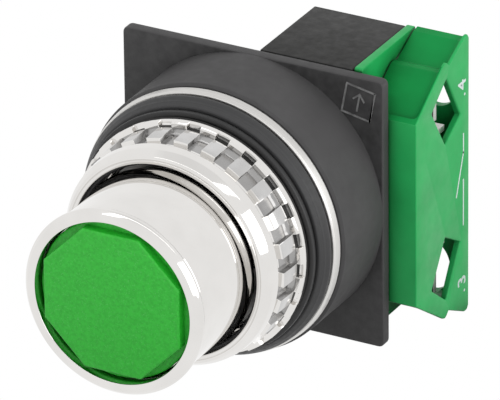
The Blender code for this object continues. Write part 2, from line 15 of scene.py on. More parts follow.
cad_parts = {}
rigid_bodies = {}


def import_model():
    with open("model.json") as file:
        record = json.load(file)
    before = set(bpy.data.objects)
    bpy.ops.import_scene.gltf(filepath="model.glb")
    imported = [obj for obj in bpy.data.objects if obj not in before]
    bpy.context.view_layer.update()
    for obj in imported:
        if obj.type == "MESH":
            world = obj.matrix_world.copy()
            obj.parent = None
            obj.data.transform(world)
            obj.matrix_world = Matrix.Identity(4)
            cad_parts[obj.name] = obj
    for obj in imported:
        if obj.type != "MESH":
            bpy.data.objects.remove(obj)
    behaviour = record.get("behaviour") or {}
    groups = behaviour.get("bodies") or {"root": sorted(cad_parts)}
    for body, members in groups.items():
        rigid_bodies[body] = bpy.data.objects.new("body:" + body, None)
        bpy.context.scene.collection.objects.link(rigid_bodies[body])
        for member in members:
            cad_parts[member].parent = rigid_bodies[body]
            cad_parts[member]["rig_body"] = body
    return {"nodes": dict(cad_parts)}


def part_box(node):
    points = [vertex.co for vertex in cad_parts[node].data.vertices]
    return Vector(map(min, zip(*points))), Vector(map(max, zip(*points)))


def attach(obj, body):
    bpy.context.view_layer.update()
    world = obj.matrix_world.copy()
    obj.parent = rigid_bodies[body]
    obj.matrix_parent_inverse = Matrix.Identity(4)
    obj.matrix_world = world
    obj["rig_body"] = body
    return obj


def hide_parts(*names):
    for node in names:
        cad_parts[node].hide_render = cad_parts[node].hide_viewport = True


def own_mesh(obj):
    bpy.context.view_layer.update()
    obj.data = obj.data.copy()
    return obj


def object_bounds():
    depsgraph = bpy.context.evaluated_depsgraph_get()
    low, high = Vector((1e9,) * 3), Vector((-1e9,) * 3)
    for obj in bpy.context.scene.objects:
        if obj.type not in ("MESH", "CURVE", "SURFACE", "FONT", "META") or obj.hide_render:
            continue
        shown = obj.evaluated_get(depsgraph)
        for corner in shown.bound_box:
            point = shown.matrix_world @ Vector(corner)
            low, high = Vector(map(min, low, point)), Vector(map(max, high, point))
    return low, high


MM = 0.001
LATHE_STEPS = 224

# Sizes and places shared with the CAD
WASHER_HOLE = 15.5
LIP_BORE = 13.5
SKIRT_BORE = 13.9
NUT_FLOOR = 17.9  # between the pads
NUT_PAD_RADIUS = 18.9
NUT_PADS = 24
NUT_PAD_START = 12.0  # degrees
WALL = 1.4
RIGHT_WALL = 1.1
CLEARANCE_HOLE = 1.8
THREAD = 1.5
ROD_SLOT_HALF = 2.1
DRIVER_SLOT_LEFT = 19.2

# Screws: (x, z) of those along Y, and (y, z) of those along X, upper one of each pair
BARREL_SCREW = (0.0, 18.2)
BLOCK_SCREW = (8.3, 17.0)
STACK_SCREW = (18.6, 11.5)

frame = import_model()
cad_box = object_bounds()


def span(node):
    """Lowest and highest corner of a CAD node, in millimetres."""
    low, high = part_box(node)
    return low / MM, high / MM


# Materials


class Finish:
    """Builds one procedural material, node by node."""

    def __init__(self, name, color, metallic=0.0, roughness=0.4, specular=0.5):
        self.mat = bpy.data.materials.new(name)
        self.mat.use_nodes = True
        self.tree = self.mat.node_tree
        self.shader = self.tree.nodes["Principled BSDF"]
        self.set("Base Color", (*color, 1.0))
        self.set("Metallic", metallic)
        self.set("Roughness", roughness)
        self.set("Specular IOR Level", specular)
        self.mat.diffuse_color = (*color, 1.0)
        self.place = self.add("ShaderNodeTexCoord").outputs["Object"]
        self.height = None

    def add(self, kind, **values):
        node = self.tree.nodes.new(kind)
        for key, value in values.items():
            setattr(node, key, value)
        return node

    def link(self, source, target):
        self.tree.links.new(source, target)

    def set(self, socket, value):
        self.shader.inputs[socket].default_value = value

    def stretched(self, x, y, z):
        """The place, with each axis scaled."""
        node = self.add("ShaderNodeMapping")
        node.inputs["Scale"].default_value = (x, y, z)
        self.link(self.place, node.inputs["Vector"])
        return node.outputs["Vector"]

    def turned_place(self):
        """Distance from the button's axis, and distance along it: marks on it run round the axis."""
        flat = self.add("ShaderNodeVectorMath", operation="MULTIPLY")
        flat.inputs[1].default_value = (1.0, 0.0, 1.0)
        self.link(self.place, flat.inputs[0])
        radius = self.add("ShaderNodeVectorMath", operation="LENGTH")
        self.link(flat.outputs[0], radius.inputs[0])
        parts = self.add("ShaderNodeSeparateXYZ")
        self.link(self.place, parts.inputs[0])
        joined = self.add("ShaderNodeCombineXYZ")
        self.link(radius.outputs["Value"], joined.inputs[0])
        self.link(parts.outputs["Y"], joined.inputs[1])
        return joined.outputs[0]

    def noise(self, size, detail=2.0, vector=None):
        """Noise with marks of about this size in millimetres."""
        node = self.add("ShaderNodeTexNoise")
        node.inputs["Scale"].default_value = 1.0 / (size * MM)
        node.inputs["Detail"].default_value = detail
        self.link(vector or self.place, node.inputs["Vector"])
        return node.outputs["Fac"]

    def remap(self, fac, low, high, start=0.3, end=0.7):
        node = self.add("ShaderNodeMapRange")
        node.inputs["From Min"].default_value = start
        node.inputs["From Max"].default_value = end
        node.inputs["To Min"].default_value = low
        node.inputs["To Max"].default_value = high
        self.link(fac, node.inputs["Value"])
        return node.outputs["Result"]

    def tint(self, fac, first, second, start=0.3, end=0.7):
        """Base colour that goes from first to second with fac."""
        node = self.add("ShaderNodeMix", data_type="RGBA")
        node.inputs["A"].default_value = (*first, 1.0)
        node.inputs["B"].default_value = (*second, 1.0)
        self.link(self.remap(fac, 0.0, 1.0, start, end), node.inputs["Factor"])
        self.link(node.outputs["Result"], self.shader.inputs["Base Color"])
        return node.outputs["Result"]

    def rough(self, fac, low, high):
        self.link(self.remap(fac, low, high), self.shader.inputs["Roughness"])

    def bump(self, fac, depth, strength=1.0):
        """Adds a relief of this depth in millimetres."""
        node = self.add("ShaderNodeBump")
        node.inputs["Strength"].default_value = strength
        node.inputs["Distance"].default_value = depth * MM
        self.link(fac, node.inputs["Height"])
        if self.height is not None:
            self.link(self.height, node.inputs["Normal"])
        self.height = node.outputs["Normal"]
        self.link(self.height, self.shader.inputs["Normal"])


def chrome(name, bright, dark, rough):
    """Plated metal: slow changes of tone, faint polishing haze and a very shallow ripple."""
    f = Finish(name, bright, metallic=1.0)
    f.tint(f.noise(5.0, 2.0), bright, dark)
    f.rough(f.noise(1.3, 4.0), *rough)
    f.bump(f.noise(3.5, 1.0), 0.004, 0.35)
    return f.mat


def metal(name, color, dark, rough, grain, turned=False):
    """Bare metal with fine tool marks, round the axis if turned."""
    f = Finish(name, color, metallic=1.0)
    vector = f.turned_place() if turned else f.stretched(1.0, 6.0, 1.0)
    marks = f.noise(grain, 3.0, vector)
    f.tint(marks, color, dark)
    f.rough(f.noise(0.8, 3.0), *rough)
    f.bump(marks, 0.006, 0.5)
    f.bump(f.noise(0.25, 2.0), 0.003, 0.4)
    return f.mat


def plastic(name, color, dark, rough, grain, depth, specular=0.5, patch=6.0):
    """Moulded plastic: uneven tone, fine surface grain and uneven gloss."""
    f = Finish(name, color, specular=specular)
    f.tint(f.noise(patch, 3.0), color, dark)
    f.rough(f.noise(1.6, 3.0), *rough)
    f.bump(f.noise(grain, 3.0), depth, 0.6)
    return f.mat


def button_green():
    """Green moulded insert with a fine sparkle grain on its face."""
    light, deep = (0.020, 0.465, 0.027), (0.013, 0.39, 0.019)
    f = Finish("button_green", light, specular=0.45)
    body = f.tint(f.noise(0.45, 3.0), deep, light, 0.36, 0.62)
    specks = f.remap(f.noise(0.22, 2.0), 0.0, 1.0, 0.60, 0.78)
    mixed = f.add("ShaderNodeMix", data_type="RGBA")
    f.link(specks, mixed.inputs["Factor"])
    f.link(body, mixed.inputs["A"])
    mixed.inputs["B"].default_value = (0.07, 0.48, 0.08, 1.0)
    f.link(mixed.outputs["Result"], f.shader.inputs["Base Color"])
    f.rough(f.noise(1.0, 3.0), 0.34, 0.46)
    f.bump(f.noise(0.30, 3.0), 0.035, 0.6)
    f.set("Subsurface Weight", 0.08)
    f.set("Subsurface Radius", (0.2, 1.0, 0.2))
    f.set("Subsurface Scale", 0.8 * MM)
    return f.mat


def block_green(name, light, deep, specular):
    """Green moulding, with painted shade that darkens it in its corners and creases."""
    f = Finish(name, light, specular=specular)
    body = f.tint(f.noise(7.0, 3.0), deep, light)
    # Ambient occlusion mixes in a dark green: painted shade in corners and creases.
    corner_shade = f.add("ShaderNodeAmbientOcclusion", samples=8)
    corner_shade.inputs["Distance"].default_value = 5.0 * MM
    mixed = f.add("ShaderNodeMix", data_type="RGBA")
    f.link(f.remap(corner_shade.outputs["AO"], 0.0, 1.0, 0.35, 0.92), mixed.inputs["Factor"])
    mixed.inputs["A"].default_value = (0.002, 0.085, 0.016, 1.0)
    f.link(body, mixed.inputs["B"])
    f.link(mixed.outputs["Result"], f.shader.inputs["Base Color"])
    f.rough(f.noise(1.8, 3.0), 0.36, 0.48)
    f.bump(f.noise(0.35, 3.0), 0.006, 0.5)
    f.bump(f.noise(6.0, 1.0), 0.05, 0.4)
    return f.mat


def rubber(name, color, dark, rough):
    """Rubber with fine rings round the axis."""
    f = Finish(name, color, specular=0.4)
    rings = f.noise(0.28, 2.0, f.turned_place())
    f.tint(rings, color, dark)
    f.rough(f.noise(0.7, 3.0), *rough)
    f.bump(rings, 0.03, 0.6)
    f.bump(f.noise(0.15, 2.0), 0.006, 0.5)
    return f.mat


FINISHES = {
    "green_button": button_green(),
    "green_block": block_green("block_green", (0.013, 0.38, 0.092), (0.009, 0.31, 0.073), 0.3),
    "chrome": chrome(
        "chrome_polished", (0.785, 0.77, 0.75), (0.75, 0.735, 0.715), rough=(0.03, 0.07)
    ),
    "zinc": metal(
        "zinc_turned",
        (0.72, 0.71, 0.69),
        (0.57, 0.56, 0.545),
        rough=(0.34, 0.46),
        grain=0.10,
        turned=True,
    ),
    "steel": metal(
        "steel_plated", (0.58, 0.57, 0.55), (0.46, 0.455, 0.44), rough=(0.22, 0.34), grain=0.12
    ),
    "brass": metal(
        "brass_rolled", (0.72, 0.50, 0.22), (0.60, 0.40, 0.16), rough=(0.22, 0.34), grain=0.12
    ),
    "black_body": plastic(
        "black_moulded",
        (0.046, 0.0455, 0.046),
        (0.030, 0.0295, 0.030),
        rough=(0.34, 0.48),
        grain=0.34,
        depth=0.030,
        specular=0.32,
        patch=1.5,
    ),
    "black_plastic": plastic(
        "black_smooth",
        (0.012, 0.012, 0.0125),
        (0.008, 0.008, 0.0085),
        rough=(0.32, 0.45),
        grain=0.3,
        depth=0.006,
    ),
    "black_rubber": rubber(
        "black_rubber", (0.040, 0.040, 0.041), (0.026, 0.026, 0.027), rough=(0.42, 0.58)
    ),
    "cream_plastic": plastic(
        "cream_moulded",
        (0.72, 0.66, 0.53),
        (0.62, 0.56, 0.44),
        rough=(0.35, 0.5),
        grain=0.25,
        depth=0.006,
    ),
}

# Finishes of single pieces, or of some faces of a piece
# Lighter, matte finish of the boss; on the plate's edge strips its lighter tone is a painted highlight.
BOSS_AND_EDGE_HIGHLIGHT = plastic(
    "black_boss_and_edge_highlight",
    (0.062, 0.061, 0.062),
    (0.052, 0.051, 0.052),
    rough=(0.55, 0.68),
    grain=0.30,
    depth=0.010,
    specular=0.25,
)
BLOCK = plastic(
    "black_grained",
    (0.023, 0.023, 0.022),
    (0.012, 0.012, 0.0115),
    rough=(0.50, 0.66),
    grain=0.45,
    depth=0.030,
    specular=0.35,
    patch=1.2,
)
# Lighter grey of the raised mark: a painted highlight on plastic of the plate's own colour.
EMBLEM_HIGHLIGHT = plastic(
    "mark_painted_highlight",
    (0.20, 0.20, 0.20),
    (0.10, 0.10, 0.10),
    rough=(0.30, 0.45),
    grain=0.2,
    depth=0.01,
    specular=0.8,
    patch=0.8,
)
PRINT = plastic(
    "print_pale",
    (0.60, 0.68, 0.66),
    (0.50, 0.60, 0.57),
    rough=(0.45, 0.6),
    grain=0.15,
    depth=0.004,
)
# Darker copies of the chrome on the nut: a rougher satin whose darker tone is painted shade in the
# recess between the pads, a slightly rougher pad finish whose darker tone is a painted reflection of
# dark surroundings, and a near-black copy that is painted shade in the notches.
SATIN_AND_SHADE = chrome("satin_chrome_painted_shade", (0.42, 0.415, 0.41), (0.32, 0.315, 0.31), rough=(0.14, 0.24))
PAD = chrome("pad_chrome_painted_reflection", (0.66, 0.655, 0.65), (0.52, 0.515, 0.51), rough=(0.08, 0.16))
SHADED = chrome(
    "chrome_painted_shade", (0.035, 0.035, 0.035), (0.02, 0.02, 0.02), rough=(0.30, 0.45)
)
# Darker copy of the green for the sunk top: painted shade where the plate shades it.
PAINTED_SHADE_GREEN = block_green("block_green_painted_shade", (0.006, 0.27, 0.060), (0.004, 0.21, 0.046), 0.08)


# Mesh building


def finish_mesh(bm, name, mats, body, nodes, sharp=32.0):
    """Turns a bmesh in millimetres into a piece that rides on a CAD body."""
    bmesh.ops.remove_doubles(bm, verts=bm.verts, dist=0.0004)
    bmesh.ops.recalc_face_normals(bm, faces=bm.faces)
    bmesh.ops.scale(bm, vec=(MM, MM, MM), verts=bm.verts)
    mesh = bpy.data.meshes.new(name)
    bm.to_mesh(mesh)
    bm.free()
    obj = bpy.data.objects.new(name, mesh)
    bpy.context.scene.collection.objects.link(obj)
    return place_piece(obj, mats, body, nodes, sharp)


def place_piece(obj, mats, body, nodes, sharp=32.0):
    """Gives a piece its materials and its body, and hides the CAD nodes that it stands for."""
    for mat in mats:
        obj.data.materials.append(mat)
    obj.data.shade_smooth()
    obj.data.set_sharp_from_angle(angle=math.radians(sharp))
    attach(obj, body)
    if nodes:
        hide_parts(*nodes)
    return obj


def fillet(points, steps=5):
    """Rounds a closed outline. A point is (a, b) or (a, b, radius of its corner)."""
    result = []
    count = len(points)
    for i, point in enumerate(points):
        corner = Vector(point[:2])
        radius = point[2] if len(point) > 2 else 0.0
        before = Vector(points[i - 1][:2]) - corner
        after = Vector(points[(i + 1) % count][:2]) - corner
        if radius <= 0.0:
            result.append(tuple(corner))
            continue
        half = before.angle(after) / 2
        reach = radius / math.tan(half)
        reach = min(reach, 0.49 * before.length, 0.49 * after.length)
        first = corner + before.normalized() * reach
        last = corner + after.normalized() * reach
        for step in range(steps + 1):
            t = step / steps
            result.append(tuple(first * (1 - t) ** 2 + corner * (2 * t * (1 - t)) + last * t**2))
    return result


def lathe_bm(outline, steps=LATHE_STEPS):
    """Revolves a closed outline of (radius, y) about the Y axis."""
    bm = bmesh.new()
    rings = []
    for radius, y in outline:
        if radius < 1e-6:
            rings.append([bm.verts.new((0.0, y, 0.0))] * steps)
            continue
        angles = [math.tau * i / steps for i in range(steps)]
        rings.append([bm.verts.new((radius * math.cos(a), y, radius * math.sin(a))) for a in angles])
    for first, second in zip(rings, rings[1:] + rings[:1]):
        for i in range(steps):
            corners = []
            for vert in (first[i - 1], first[i], second[i], second[i - 1]):
                if vert not in corners:
                    corners.append(vert)
            if len(corners) > 2:
                bm.faces.new(corners)
    return bm


def loft_bm(sections):
    """Closed solid through sections of equal length, each a list of 3-D points."""
    bm = bmesh.new()
    rings = [[bm.verts.new(point) for point in section] for section in sections]
    for first, second in zip(rings, rings[1:]):
        for i in range(len(first)):
            bm.faces.new((first[i - 1], first[i], second[i], second[i - 1]))
    bm.faces.new(rings[0])
    bm.faces.new(rings[-1])
    bmesh.ops.recalc_face_normals(bm, faces=bm.faces)
    return bm


def along(axis, level, outline):
    """Places an outline across X as (y, z), or across Y as (x, z)."""
    if axis == "X":
        return [(level, a, b) for a, b in outline]
    return [(a, level, b) for a, b in outline]


def prism_bm(axis, outline, low, high):
    """Closed solid with the same outline from low to high along an axis."""
    return loft_bm([along(axis, low, outline), along(axis, high, outline)])


def rectangle(x0, x1, z0, z1, radius=0.0, steps=5):
    """Rectangular outline with corners of this radius."""
    return fillet([(x0, z0, radius), (x1, z0, radius), (x1, z1, radius), (x0, z1, radius)], steps)


def circle(center, radius, steps=48):
    """Round outline."""
    angles = [math.tau * i / steps for i in range(steps)]
    return [(center[0] + radius * math.cos(a), center[1] + radius * math.sin(a)) for a in angles]


def scratch(bm, name):
    """New object in millimetres, to be cut or rounded before it becomes a piece."""
    bmesh.ops.recalc_face_normals(bm, faces=bm.faces)
    mesh = bpy.data.meshes.new(name)
    bm.to_mesh(mesh)
    bm.free()
    obj = bpy.data.objects.new(name, mesh)
    bpy.context.scene.collection.objects.link(obj)
    return obj


def combine(target, operation, *parts):
    """Applies a Boolean with each of the parts, which are meshes in millimetres, to target."""
    for bm in parts:
        other = scratch(bm, "tool")
        modifier = target.modifiers.new("combine", "BOOLEAN")
        modifier.operation = operation
        modifier.solver = "EXACT"
        modifier.object = other
        apply_modifiers(target)
        bpy.data.objects.remove(other)


def apply_modifiers(obj):
    """Replaces an object's mesh with what its modifiers make of it."""
    bpy.context.view_layer.update()
    evaluated = obj.evaluated_get(bpy.context.evaluated_depsgraph_get())
    mesh = bpy.data.meshes.new_from_object(evaluated)
    obj.modifiers.clear()
    obj.data = mesh


def bevel(obj, width, segments=2, angle=60.0):
    """Rounds an object's edges that are sharper than angle, in degrees."""
    modifier = obj.modifiers.new("edges", "BEVEL")
    modifier.width = width
    modifier.segments = segments
    modifier.limit_method = "ANGLE"
    modifier.angle_limit = math.radians(angle)
    modifier.use_clamp_overlap = True
    apply_modifiers(obj)


def to_metres(obj):
    """Scales an object's mesh from millimetres."""
    obj.data.transform(Matrix.Scale(MM, 4))


# Moving button


def button_cap():
    """Cup with a rolled front lip and a small flare at its rear edge."""
    low, high = span("button_cap")
    lip, front, back = high.x, low.y, high.y
    cup, flare = lip - 0.55, lip - 0.2
    flare_start, flare_end = back - 3.2, back - 1.9
    edge = 0.06  # half the height of the small step that ends the flare
    floor, floor_back = front + 3.3, front + 3.3 + 1.2
    screw_hole = 2.2
    outline = fillet(
        [
            (LIP_BORE + 0.02, front + 0.04, 0.2),
            (lip - 0.7, front, 0.6),
            (lip, front + 0.7, 0.7),
            (lip, front + 1.35, 0.35),
            (cup - 0.1, front + 1.9, 0.25),
            (cup, front + 2.3, 0.3),
            (cup, flare_start),
            *flaring(cup, flare_start, flare - edge, flare_end),
            (flare - edge, flare_end),
            (flare + edge, flare_end + 0.22, 0.06),
            (flare + edge, flare_end + 0.5, 0.15),
            (cup, back - 0.6, 0.2),
            (cup, back, 0.2),
            (SKIRT_BORE, back, 0.2),
            (SKIRT_BORE, floor_back, 0.3),
            (screw_hole, floor_back),
            (screw_hole, floor),
            (LIP_BORE, floor, 0.25),
            (LIP_BORE, front + 0.6),
        ],
        9,
    )
    finish_mesh(
        lathe_bm(outline), "cup_chromed", [FINISHES["chrome"]], "button", ["button_cap"], 50
    )


def flaring(radius, start, end_radius, end, steps=10):
    """Points of a curve that leaves the cup's side smoothly and opens out, both ends left out."""
    return [
        (radius + (end_radius - radius) * (i / steps) ** 2, start + (end - start) * i / steps)
        for i in range(1, steps)
    ]


def button_insert():
    """Octagonal face with rounded edges on a round base, hollow round the cap screw's head."""
    low, high = span("button_insert")
    face, back = low.y, high.y
    base_radius = high.x
    hollow, hollow_floor = 3.8, back - 2.0
    base = lathe_bm(
        fillet(
            [
                (0.0, hollow_floor),
                (hollow, hollow_floor),
                (hollow, back),
                (base_radius, back, 0.1),
                (base_radius, back - 1.3, 0.35),
                (0.0, back - 2.7),
            ]
        ),
        128,
    )
    obj = scratch(base, "insert_green")
    circumradius = 12.83
    corner, edge, edge_steps = 0.45, 0.42, 7
    sections = [(circumradius, back - 0.9)]
    for step in range(edge_steps + 1):
        t = step / edge_steps
        inset = edge * (1 - math.cos(t * math.pi / 2))
        y = face + edge * (1 - math.sin(t * math.pi / 2))
        sections.append((circumradius - inset / math.cos(math.pi / 8), y))
    rings = []
    for radius, y in sections:
        octagon = [(radius * math.cos(a), radius * math.sin(a), corner) for a in octagon_angles()]
        rings.append(along("Y", y, fillet(octagon, 4)))
    combine(obj, "UNION", loft_bm(rings))
    combine(obj, "DIFFERENCE", prism_bm("Y", circle((0, 0), hollow), hollow_floor, back + 0.5))
    to_metres(obj)
    place_piece(
        obj, [FINISHES["green_button"]], "button", ["button_insert"], 35
    )


def octagon_angles():
    """Angles of an octagon's corners, with a flat side straight up."""
    return [math.radians(22.5 + 45 * i) for i in range(8)]


# Front hardware


def nut_band(front, back):
    """Outline of the nut's bore and of its smooth front band, as (radius, y)."""
    bore, seal_seat, middle_bore = 16.2, 17.0, 15.8
    return fillet(
        [
            (WASHER_HOLE, back, 0.1),
            (WASHER_HOLE, front + 6.8),
            (middle_bore, front + 6.8),
            (middle_bore, front + 4.1),
            (seal_seat, front + 4.1),
            (seal_seat, front + 1.0),
            (bore, front + 1.0),
            (bore, front + 0.05, 0.25),
            (bore + 0.55, front, 0.25),
            (bore + 0.62, front + 0.18, 0.1),
            (bore + 0.8, front + 0.05, 0.2),
            (17.45, front + 0.25, 0.5),
            (18.25, front + 1.5, 1.0),
            (18.45, front + 3.15, 0.2),
            (NUT_FLOOR, front + 3.45),
        ],
        6,
    )


def nut_tails(pad_front, pad_back, notch_back, rim):
    """Outlines behind the band, by the kind of column that they belong to."""
    step_back, flange_edge = pad_back + 0.1, 19.5
    pad = [
        (NUT_FLOOR, pad_front),
        (NUT_PAD_RADIUS - 0.1, pad_front + 0.05),
        (NUT_PAD_RADIUS, pad_back - 0.5),
        (NUT_PAD_RADIUS, pad_back),
    ]
    recess = [
        (NUT_FLOOR, pad_front),
        (NUT_FLOOR, pad_front + 0.08),
        (NUT_FLOOR + 0.02, pad_back - 0.5),
        (NUT_FLOOR + 0.5, pad_back),
    ]
    flange = [
        (NUT_PAD_RADIUS + 0.02, step_back),
        (flange_edge, step_back),
        (rim, step_back + 0.3),
        (rim, notch_back + 0.15),
    ]
    notch = [
        (NUT_PAD_RADIUS, notch_back),
        (flange_edge - 0.1, notch_back + 0.02),
        (rim, notch_back + 0.05),
        (rim, notch_back + 0.15),
    ]
    return {"recess": recess + flange, "pad": pad + flange, "notch": pad + notch}


def nut_columns():
    """Angle in degrees, and kind of outline, of each column of points round the nut."""
    pad_half, notch_half = 3.85, 3.4
    wall = 0.06  # half the width of the steep sides of pads and notches
    offsets = [
        (-pad_half - wall, "recess"),
        (-pad_half + wall, "pad"),
        (-notch_half - wall, "pad"),
        (-notch_half + wall, "notch"),
        (-1.1, "notch"),
        (1.1, "notch"),
        (notch_half - wall, "notch"),
        (notch_half + wall, "pad"),
        (pad_half - wall, "pad"),
        (pad_half + wall, "recess"),
        (pad_half + 1.9, "recess"),
        (pad_half + 3.6, "recess"),
        (pad_half + 5.4, "recess"),
    ]
    middles = [NUT_PAD_START + 360 / NUT_PADS * i for i in range(NUT_PADS)]
    return [(middle + offset, kind) for middle in middles for offset, kind in offsets]


def bezel_ring_nut():
    """Ring nut: rounded band, raised pads, and a flange with a notch behind each pad."""
    low, high = span("bezel_ring_nut")
    rim, front, back = high.x, low.y, high.y
    pad_front, pad_back, notch_back = front + 4.25, back - 2.2, back - 1.2
    band = nut_band(front, back)
    tails = nut_tails(pad_front, pad_back, notch_back, rim)
    ending = [(rim, back - 0.15), (rim - 0.15, back)]
    bm = bmesh.new()
    rings = []
    for degrees, kind in nut_columns():
        a = math.radians(degrees)
        outline = band + tails[kind] + ending
        rings.append([bm.verts.new((r * math.cos(a), y, r * math.sin(a))) for r, y in outline])
    for first, second in zip(rings, rings[1:] + rings[:1]):
        for i in range(len(first)):
            bm.faces.new((first[i - 1], first[i], second[i], second[i - 1]))
    obj = scratch(bm, "ring_nut_chromed")
    bevel(obj, 0.07, angle=38.0)
    to_metres(obj)
    finishes = {"band": FINISHES["chrome"], "recess": SATIN_AND_SHADE, "pad": PAD, "notch": SHADED}
    index = {part: i for i, part in enumerate(finishes)}
    place_piece(obj, list(finishes.values()), "operator", ["bezel_ring_nut"], 48)
    # Recess, pad and notch faces take the darker chrome copies: painted shade in the recess and
    # notches, and a painted reflection on the pads.
    for face in obj.data.polygons:
        middle = face.center / MM
        radius = math.hypot(middle.x, middle.z)
        outward = abs(face.normal.x * middle.x + face.normal.z * middle.z) / radius
        if not (front + 3.3 < middle.y < notch_back + 0.1):
            continue
        if not (NUT_FLOOR - 0.1 < radius < rim - 0.2):
            continue
        if middle.y > pad_back + 0.02 and radius < NUT_PAD_RADIUS + 0.1 and outward > 0.9:
            face.material_index = index["notch"]
        elif radius > NUT_PAD_RADIUS - 0.06 and outward > 0.9:
            face.material_index = index["pad"]
        elif radius < NUT_PAD_RADIUS - 0.06 and middle.y > pad_front + 0.06:
            face.material_index = index["recess"]


def ring(name, node, outline, slot):
    """Turned piece that stands for one node of the fixed body."""
    finish_mesh(lathe_bm(outline), name, [FINISHES[slot]], "operator", [node], 40)


def small_rings():
    """The rubber ring in the nut, and the washer, gasket and spacer behind the nut."""
    low, high = span("cup_seal")
    hole = 15.6
    seal = fillet(
        [
            (hole, high.y),
            (hole, low.y + 0.2, 0.1),
            (hole + 0.2, low.y, 0.15),
            (high.x, low.y, 0.1),
            (high.x, high.y),
        ]
    )
    ring("seal_rubber", "cup_seal", seal, "black_rubber")
    low, high = span("slip_washer")
    washer = fillet(
        [
            (WASHER_HOLE, low.y),
            (high.x, low.y, 0.25),
            (high.x, high.y, 0.25),
            (WASHER_HOLE, high.y),
        ]
    )
    ring("washer_thin", "slip_washer", washer, "black_plastic")
    low, high = span("panel_gasket")
    rim = high.x
    gasket = [(WASHER_HOLE, high.y), (WASHER_HOLE, low.y)]
    for groove in range(3):
        radius = 18.4 + 0.7 * groove
        gasket += [(radius - 0.08, low.y), (radius, low.y + 0.06), (radius + 0.08, low.y)]
    gasket += [
        (rim - 1.1, low.y, 0.25),
        (rim - 0.5, high.y - 1.4, 0.3),
        (rim - 0.33, high.y - 1.05, 0.1),
        (rim, high.y - 0.5, 0.25),
        (rim, high.y, 0.1),
    ]
    ring("gasket_rubber", "panel_gasket", fillet(gasket), "black_rubber")
    low, high = span("spacer_ring")
    rim = high.x
    spacer = fillet(
        [
            (WASHER_HOLE, high.y),
            (WASHER_HOLE, low.y),
            (rim - 0.3, low.y, 0.2),
            (rim - 0.12, low.y + 0.35, 0.15),
            (rim, high.y - 0.3, 0.2),
            (rim - 0.1, high.y, 0.1),
        ]
    )
    ring("spacer_metal", "spacer_ring", spacer, "zinc")


# Operator body


def operator_body():
    """Square plate with a hollow round boss in front, posts for the screws and a seat behind."""
    low, high = span("operator_body")
    half = high.x
    plate_front, plate_back = high.y - 2.3, high.y - 0.3
    ledge = 2.5  # the barrel's flange lies in front of it
    hollow, flange_hollow, boss_radius = 20.7, 21.2, 22.9
    obj = scratch(
        prism_bm("Y", rectangle(-half, half, -half, half, 1.1, 8), plate_front, plate_back),
        "body_moulded",
    )
    bevel(obj, 0.28, segments=3)
    boss = fillet(
        [
            (hollow, ledge),
            (flange_hollow, ledge),
            (flange_hollow, low.y),
            (boss_radius - 0.55, low.y, 0.1),
            (boss_radius - 0.08, low.y + 0.35, 0.3),
            (boss_radius, plate_front - 0.5),
            (boss_radius + 0.05, plate_front + 0.8),
            (hollow, plate_front + 0.8),
        ]
    )
    seat = rectangle(-21.5, -1.0, -21.5, 21.5, 0.6)
    combine(obj, "UNION", lathe_bm(boss), prism_bm("Y", seat, plate_back - 0.5, high.y))
    for side in (1, -1):
        barrel_screw = (BARREL_SCREW[0], side * BARREL_SCREW[1])
        block_screw = (BLOCK_SCREW[0], side * BLOCK_SCREW[1])
        posts = (
            prism_bm("Y", circle(barrel_screw, 2.6), ledge + 0.3, plate_front + 0.5),
            prism_bm("Y", circle(block_screw, 2.8), 4.5, plate_front + 0.5),
        )
        combine(obj, "UNION", *posts)
        window = sorted((side * 18.3, side * 20.5))
        combine(
            obj,
            "DIFFERENCE",
            prism_bm("Y", circle(block_screw, CLEARANCE_HOLE), 3.5, 16.0),
            prism_bm("Y", circle(barrel_screw, THREAD + 0.2), 1.5, 10.5),
            prism_bm("Y", rectangle(*window, -ROD_SLOT_HALF, ROD_SLOT_HALF, 0.2), 11.0, 16.0),
        )
    to_metres(obj)
    finishes = [FINISHES["black_body"], BOSS_AND_EDGE_HIGHLIGHT]
    place_piece(obj, finishes, "operator", ["operator_body"], 30)
    # The boss's outside, and the plate's edge strips, where the lighter finish is a painted highlight.
    for face in obj.data.polygons:
        middle = face.center / MM
        outside = math.hypot(middle.x, middle.z) > flange_hollow + 0.1
        on_boss = outside and middle.y < plate_front - 0.001
        if on_boss or max(abs(middle.x), abs(middle.z)) > half - 0.2:
            face.material_index = 1
    emblem(plate_front)


def emblem(front):
    """Plain raised mark on the plate: a thin square frame, turned a little, with an arrow in it."""
    middle, half, line, proud = Vector((18.75, 18.85)), 2.5, 0.14, 0.13
    turn = Matrix.Rotation(math.radians(-11), 2)
    strokes = [
        ((-half, -half), (half, -half)),
        ((half, -half), (half, half)),
        ((half, half), (-half, half)),
        ((-half, half), (-half, -half)),
        ((0.0, -1.5), (0.0, 1.3)),
        ((0.0, 1.4), (-0.9, 0.4)),
        ((0.0, 1.4), (0.9, 0.4)),
    ]
    mark = None
    for a, b in strokes:
        ends = stroke(middle + turn @ Vector(a), middle + turn @ Vector(b), line)
        bm = prism_bm("Y", ends, front - proud, front + 0.1)
        if mark is None:
            mark = scratch(bm, "plate_mark")
        else:
            combine(mark, "UNION", bm)
    bevel(mark, 0.04)
    to_metres(mark)
    # The mark's lighter grey is a painted highlight.
    place_piece(mark, [EMBLEM_HIGHLIGHT], "operator", [])


def stroke(start, end, half_width):
    """Outline of a straight stroke, whose square ends reach half its width past both points."""
    along_it = (end - start).normalized()
    aside = Vector((-along_it.y, along_it.x)) * half_width
    start, end = start - along_it * half_width, end + along_it * half_width
    return [tuple(p) for p in (start - aside, end - aside, end + aside, start + aside)]


# Blocks behind the plate


